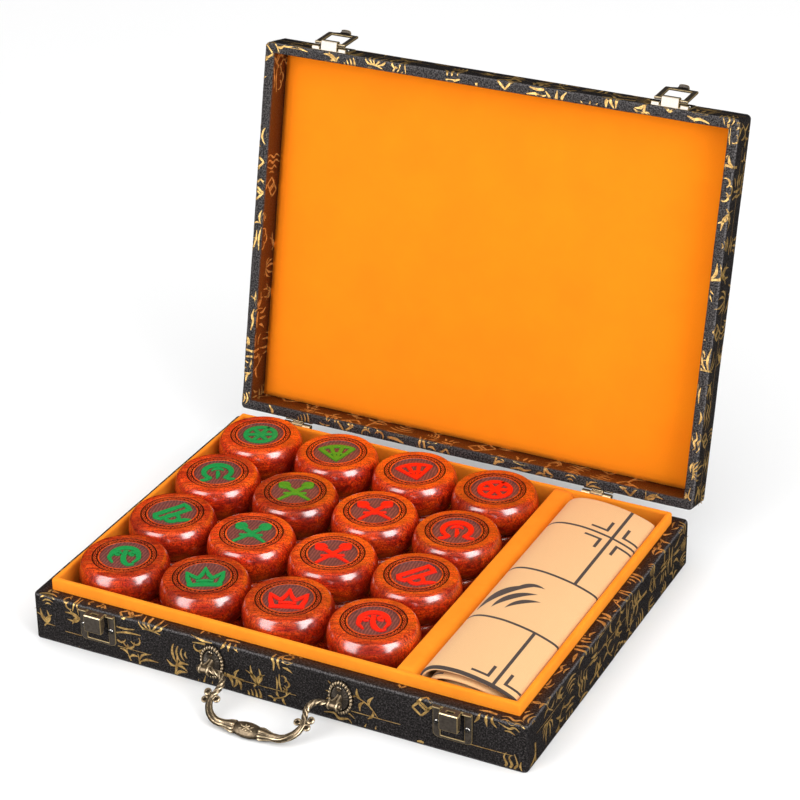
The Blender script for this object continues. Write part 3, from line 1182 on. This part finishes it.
class Cast:
    """A casting put together from closed forms, each placed as it is added."""

    def __init__(self, place=None):
        self.verts, self.faces, self.ids, self.place = [], [], [], place

    def add(self, loops, worn=False):
        """worn is the faces' materials, or a test of each point before it is placed, or one
        value: 0 for plain bronze, 1 for worn, 2 for dark."""
        v, f = loft(loops)
        k = len(self.verts)
        self.verts += [self.place(p) for p in v]
        self.faces += [tuple(k + i for i in face) for face in f]
        if isinstance(worn, list):
            self.ids += worn + [0] * (len(f) - len(worn))
        elif callable(worn):
            self.ids += [min(int(worn(v[i])) for i in face[:4]) for face in f]
        else:
            self.ids += [int(worn)] * len(f)

    def bar(self, path, radius, sides=16, ribs=0, depth=0.0, turns=0.0, flat=1.0, worn=False):
        """A bar along path; radius is a function of the share of its length, and ribs are raised
        lines along it that go round it by some turns."""
        pts = [Vector(p) for p in path]
        n, loops, tone = len(pts), [], []
        for i, p in enumerate(pts):
            run = (pts[min(i + 1, n - 1)] - pts[max(i - 1, 0)]).normalized()
            across = run.cross(Vector((0, 0, 1))).normalized()
            up = across.cross(run)
            s = i / (n - 1)
            loop = []
            for a in circle(sides):
                rib = cos(ribs * (a + 2 * pi * turns * s))
                r = radius(s) * (1 + depth * rib)
                loop.append(tuple(p + across * (r * cos(a)) + up * (r * flat * sin(a))))
                tone.append(int(rib > RIB_WORN))
            loops.append(loop)
        self.add(loops, tone[:-sides] if ribs else worn)

    def turned(self, profile, centre=(0, 0, 0), sides=32, flat=1.0, flutes=0, flute=None,
               worn=None):
        """A form turned round the x axis from (along, radius) points; flute gives the depth of
        its flutes at a share of its length."""
        loops, tone, n = [], [], len(profile)
        for k, (along, r) in enumerate(profile):
            loop = []
            for a in circle(sides):
                cut = 1 - (flute(k / (n - 1)) if flute else 0.0) * (0.5 - 0.5 * cos(flutes * a))
                loop.append((centre[0] + along, centre[1] + r * cut * cos(a),
                             centre[2] + r * cut * flat * sin(a)))
                tone.append(int(flutes > 0 and cos(flutes * a) > FLUTE_WORN))
            loops.append(loop)
        self.add(loops, worn or tone[:-sides])

    def bead(self, c, radii, turn=0.0, worn=True):
        ca, sa = cos(radians(turn)), sin(radians(turn))
        loops = []
        for i in range(1, 8):
            t = pi * i / 8
            loop = []
            for a in circle(12):
                x, y = radii[0] * sin(t) * cos(a), radii[1] * sin(t) * sin(a)
                loop.append((c[0] + x * ca - y * sa, c[1] + x * sa + y * ca,
                             c[2] + radii[2] * cos(t)))
            loops.append(loop)
        self.add(loops, worn)

    def piece(self, name, body, replaced):
        face_out(make(name, self.verts, self.faces, body, "handle_bronze",
                      [BRONZE, WORN, DARK_METAL], [replaced], ids=self.ids))


BAIL_C, BAIL_S = cos(radians(BAIL_ANGLE)), sin(radians(BAIL_ANGLE))
ARM = [(34.9, 0.0), (31.6, 0.1), (28.2, 0.9), (25.9, 3.3), (25.2, 6.6), (25.9, 9.9), (27.0, 13.4)]
LOW_ARM = [(26.6, 12.0), (27.2, 14.6), (26.6, 18.0), (24.7, 21.6), (21.6, 24.4), (18.2, 25.8),
           (14.0, BAIL_DEEP)]
SCROLLS = [(30.1, 11.4, 150, -400), (29.8, 16.2, 160, 400), (23.8, 14.5, 20, -400)]
INNER_CAP = [(34.4, 1.2), (34.5, 1.8), (34.7, 2.0), (34.9, 2.0), (35.0, 1.7)]
PIVOT_PIN = [(35.0, 1.18), (41.4, 1.18)]
OUTER_CAP = [(41.2, 1.3), (41.25, 1.8), (41.6, 1.9), (42.0, 1.7), (42.3, 1.1), (42.4, 0.4)]
COLLAR = [(6.9, 1.8), (7.0, 3.2), (7.3, 3.75), (8.3, 3.9), (9.8, 3.6), (11.6, 3.0), (13.6, 2.5),
          (15.6, 2.15), (16.2, 1.5)]


def hung(p):
    """A point of the bail's own plane, (across, away from the pivot, up), where it hangs."""
    x, v, n = p
    return (HANDLE_X + x, FRONT - PIVOT_OUT - BAIL_C * v - BAIL_S * n,
            PIVOT_Z - BAIL_S * v + BAIL_C * n)


def barrel_loops():
    """The barrel: flattened, beaded along its edges."""
    loops, half, last = [], 7.3, 96
    for i in range(last + 1):
        x = -half + 2 * half * i / last
        r = 3.0 + 1.5 * cos(0.5 * pi * x / half) ** 0.8
        if abs(x) > half - 0.45:
            r += 0.25
        if i in (0, last):
            r -= 0.5
        bead = 0.55 + 0.45 * cos(2 * pi * x / 1.15)
        loop = []
        for a in circle(72):
            edge = max(0.0, 1 - abs(sin(a)) / 0.22)
            rim = max(0.0, 1 - abs(abs(sin(a)) - 0.36) / 0.12)
            k = r - 0.42 * edge * (1 - bead) - 0.16 * rim
            loop.append((x, BAIL_DEEP + k * cos(a), 0.62 * k * sin(a)))
        loops.append(loop)
    return loops


def bail():
    cast = Cast(hung)
    for s in (-1, 1):
        cast.bar([(s * x, v, 0) for x, v in smooth_run(ARM, 64)],
                 lambda f: 1.46 + 0.12 * sin(pi * f), 32, 4, 0.12, 1.5 * s)
        cast.bar([(s * x, v, 0) for x, v in smooth_run(LOW_ARM, 64)],
                 lambda f: 1.45 + 0.55 * min(1.0, 1.6 * f), 32, 6, 0.11, 0.25 * s)
        # the knot: two scrolls outside the arm and one inside
        for cx, cv, start, sweep in SCROLLS:
            curl = []
            for i in range(41):
                f = i / 40
                a = radians(start + sweep * f)
                r = 1.85 - 0.95 * f
                curl.append((s * (cx + r * cos(a)), cv + r * sin(a),
                             0.35 * sin(pi * f)))
            cast.bar(curl, lambda f: 0.80 - 0.16 * f, 12, flat=1.2,
                     worn=lambda p, c=(s * cx, cv): dist(p[:2], c) > 1.25)
            cast.bead((s * cx, cv, 0), (1.25, 1.25, 0.45), worn=False)
        for profile, sides in ((INNER_CAP, 32), (PIVOT_PIN, 20), (OUTER_CAP, 32)):
            cast.turned([(s * x, r) for x, r in profile], sides=sides)
        cast.turned([(s * x, r) for x, r in smooth_run(COLLAR, 30)], (0, BAIL_DEEP, 0), 64, 0.9, 8,
                    lambda f: 0.22 * sin(pi * min(1.0, f * 1.1)) ** 0.7 if f > 0.12 else 0.0)
    cast.add(barrel_loops())
    # a six-petalled flower on the barrel's face, and four leaves beside it
    for k in range(6):
        a = radians(60 * k + 12)
        cast.bead((1.25 * cos(a), BAIL_DEEP + 1.25 * sin(a), 2.72), (0.95, 0.5, 0.42),
                  60 * k + 12)
    cast.bead((0, BAIL_DEEP, 2.85), (0.5, 0.5, 0.42))
    for side in (-1, 1):
        for k in (-1, 1):
            cast.bead((side * 3.1, BAIL_DEEP + k * 0.9, 2.5), (1.1, 0.32, 0.3), side * k * 28)
    cast.piece("handle_bail_cast", "bail", "handle_bail")


ROSETTE_X, ROSETTE_Y, HUB = 7.15, 10.4, 0.735  # half axes in mm, and the dark middle's share
BEADS, RAYS = 26, 22
BEAD_MID, BEAD_HALF, GROOVE_IN = 0.865, 0.14, 0.695  # shares too
SHARES = [1.0, 1.0, 0.985, 0.955, 0.92, 0.885, 0.85, 0.815, 0.785, 0.76, 0.74, 0.73, 0.715, 0.70,
          0.685, 0.62, 0.52, 0.42, 0.32, 0.22, 0.12, 0.04]
# the post: a fluted wedge that widens to a short barrel, in (out, width, height) sections
STRAP = [(1.2, 3.6, 5.6), (1.9, 3.1, 4.9), (2.8, 2.5, 3.9), (3.8, 2.5, 3.3), (5.0, 2.9, 3.0),
         (6.4, 3.5, 3.0), (7.6, 4.0, 3.2), (8.6, 4.2, 3.0)]
RIDGE = [(0.75, 2.35, 1.9), (0.78, 1.75, 3.2), (0.95, 1.5, 4.8), (1.2, 1.5, 6.4), (1.5, 1.6, 7.9)]
POST_BARREL = [(-2.9, 1.6), (-2.85, 2.2), (-2.6, 2.55), (-2.2, 2.6), (-1.9, 2.3), (-1.6, 2.2),
               (0, 2.15), (1.6, 2.2), (1.9, 2.3), (2.2, 2.6), (2.6, 2.55), (2.85, 2.2), (2.9, 1.6)]


def rosette_loops():
    """An oval plate: a rim of beads, a groove, and rays that fall towards the edge."""
    loops = []
    for rn in SHARES:
        loop = []
        for a in circle(8 * BEADS):
            bead = 0.5 + 0.5 * cos(BEADS * a)
            scale = rn * (1 - 0.07 * (1 - bead) * max(0.0, (rn - 0.85) / 0.15))
            if rn > HUB:
                y = (rn - BEAD_MID) / BEAD_HALF
                h = 0.65 + 1.35 * sqrt(max(0.0, 1 - y * y)) * (0.46 + 0.54 * sqrt(bead))
            elif rn > GROOVE_IN:
                h = 0.55
            else:
                ray = (0.5 - 0.5 * cos(RAYS * a)) * min(1.0, rn / 0.35)
                h = 1.75 + 0.3 * (1 - rn / 0.7) - 0.22 * ray
            loop.append((ROSETTE_X * scale * cos(a), ROSETTE_Y * scale * sin(a), h))
        loops.append(loop)
    loops[0] = [(x, y, 0.0) for x, y, _ in loops[0]]
    return loops


def strap_loops():
    loops = []
    for d, w, h in STRAP:
        loop = []
        for a in circle(48):
            cx, cy = cos(a), sin(a)
            x = w / 2 * copysign(abs(cx) ** 0.6, cx)
            y = h / 2 * copysign(abs(cy) ** 0.6, cy)
            y *= 1 - 0.17 * (0.5 - 0.5 * cos(2 * pi * 2.5 * (2 * x / w)))
            loop.append((x, y, d))
        loops.append(loop)
    return loops


def rosettes_and_posts():
    plates, posts = Cast(), Cast()
    for x0 in (HANDLE_X - POST_X, HANDLE_X + POST_X):
        plates.place = posts.place = lambda p, x0=x0: (x0 + p[0], FRONT - p[2], PIVOT_Z + p[1])
        plates.add(rosette_loops(), lambda p: (
            2 if hypot(p[0] / ROSETTE_X, p[1] / ROSETTE_Y) < HUB else p[2] > 1.62))
        posts.add(strap_loops())
        for k in (-1, 0, 1):
            for up in (-1, 1):
                ridge = smooth_run([(x * k, up * y, z) for x, y, z in RIDGE], 14)
                posts.bar(ridge, lambda f: 0.46 + 0.14 * f, 8, worn=k != 0)
        posts.turned(POST_BARREL, (0, 0, PIVOT_OUT), worn=lambda p: abs(p[0]) > 1.7)
    plates.piece("handle_rosettes_cast", "case_base", "handle_rosettes")
    posts.piece("handle_posts_cast", "case_base", "handle_posts")


bail()
rosettes_and_posts()

# ------------------------------------------------------------------ stage, light and camera
AIM = Vector((23.85, -5.9, 133.4)) * MM
CAM_AZ, CAM_EL, CAM_DIST, CAM_ROLL = 26.72, 27.94, 1.36406, -0.69
FOCAL_PX, PICTURE_PX, SENSOR = 2587.1, 800.0, 36.0


def towards(azimuth, elevation):
    """The unit vector from the case out to an azimuth and elevation in degrees."""
    a, e = radians(azimuth), radians(elevation)
    return Vector((sin(a) * cos(e), -cos(a) * cos(e), sin(e)))


def camera():
    back = towards(CAM_AZ, CAM_EL)
    x = (-back).cross(Vector((0, 0, 1))).normalized()
    y = x.cross(-back)
    roll = radians(CAM_ROLL)
    cr, sr = cos(roll), sin(roll)
    data = bpy.data.cameras.new("camera")
    data.sensor_width = SENSOR
    data.lens = FOCAL_PX * SENSOR / PICTURE_PX
    cam = in_scene("camera", data)
    m = Matrix((cr * x + sr * y, -sr * x + cr * y, back)).transposed().to_4x4()
    m.translation = AIM + back * CAM_DIST
    cam.matrix_world = m
    bpy.context.scene.camera = cam


def area(name, azimuth, elevation, distance, size, power, only_gloss=False):
    data = bpy.data.lights.new(name, "AREA")
    data.energy = power
    data.shape = "RECTANGLE"
    data.size, data.size_y = size
    obj = in_scene(name, data)
    obj.visible_diffuse = not only_gloss
    aim = Vector((0, 0, 0.03))
    obj.location = aim + towards(azimuth, elevation) * distance
    obj.rotation_euler = (aim - obj.location).to_track_quat("-Z", "Y").to_euler()


def stage():
    m, _, b = new_material("floor_pale")
    shade(b, (0.93, 0.93, 0.93), 0.9)
    s = 60000.0
    floor = in_scene("floor", mesh_of("floor", [(-s, -s, 0), (s, -s, 0), (s, s, 0), (-s, s, 0)],
                                      [(0, 1, 2, 3)], [m], smooth=False))
    floor.visible_glossy = False
    world = bpy.data.worlds.new("studio")
    bpy.context.scene.world = world
    world.use_nodes = True
    background = world.node_tree.nodes["Background"]
    put(background.inputs["Color"], (1, 1, 1))
    put(background.inputs["Strength"], 0.34)
    world.cycles_visibility.glossy = False
    above = bpy.data.lights.new("soft_above", "SUN")
    above.energy, above.angle = 2.0, radians(110)
    in_scene("soft_above", above).visible_glossy = False


camera()
stage()
area("soft_left", -26, 20, 1.5, (0.95, 1.4), 11.5)
area("soft_right", 69, 20, 1.5, (0.95, 1.4), 16.5)
area("shine_left", -26, 14, 1.48, (0.72, 2.0), 17.0, only_gloss=True)
area("shine_right", 69, 14, 1.48, (0.72, 2.0), 26.0, only_gloss=True)
bpy.context.scene.view_settings.view_transform = "Standard"
bpy.context.scene.view_settings.look = "None"
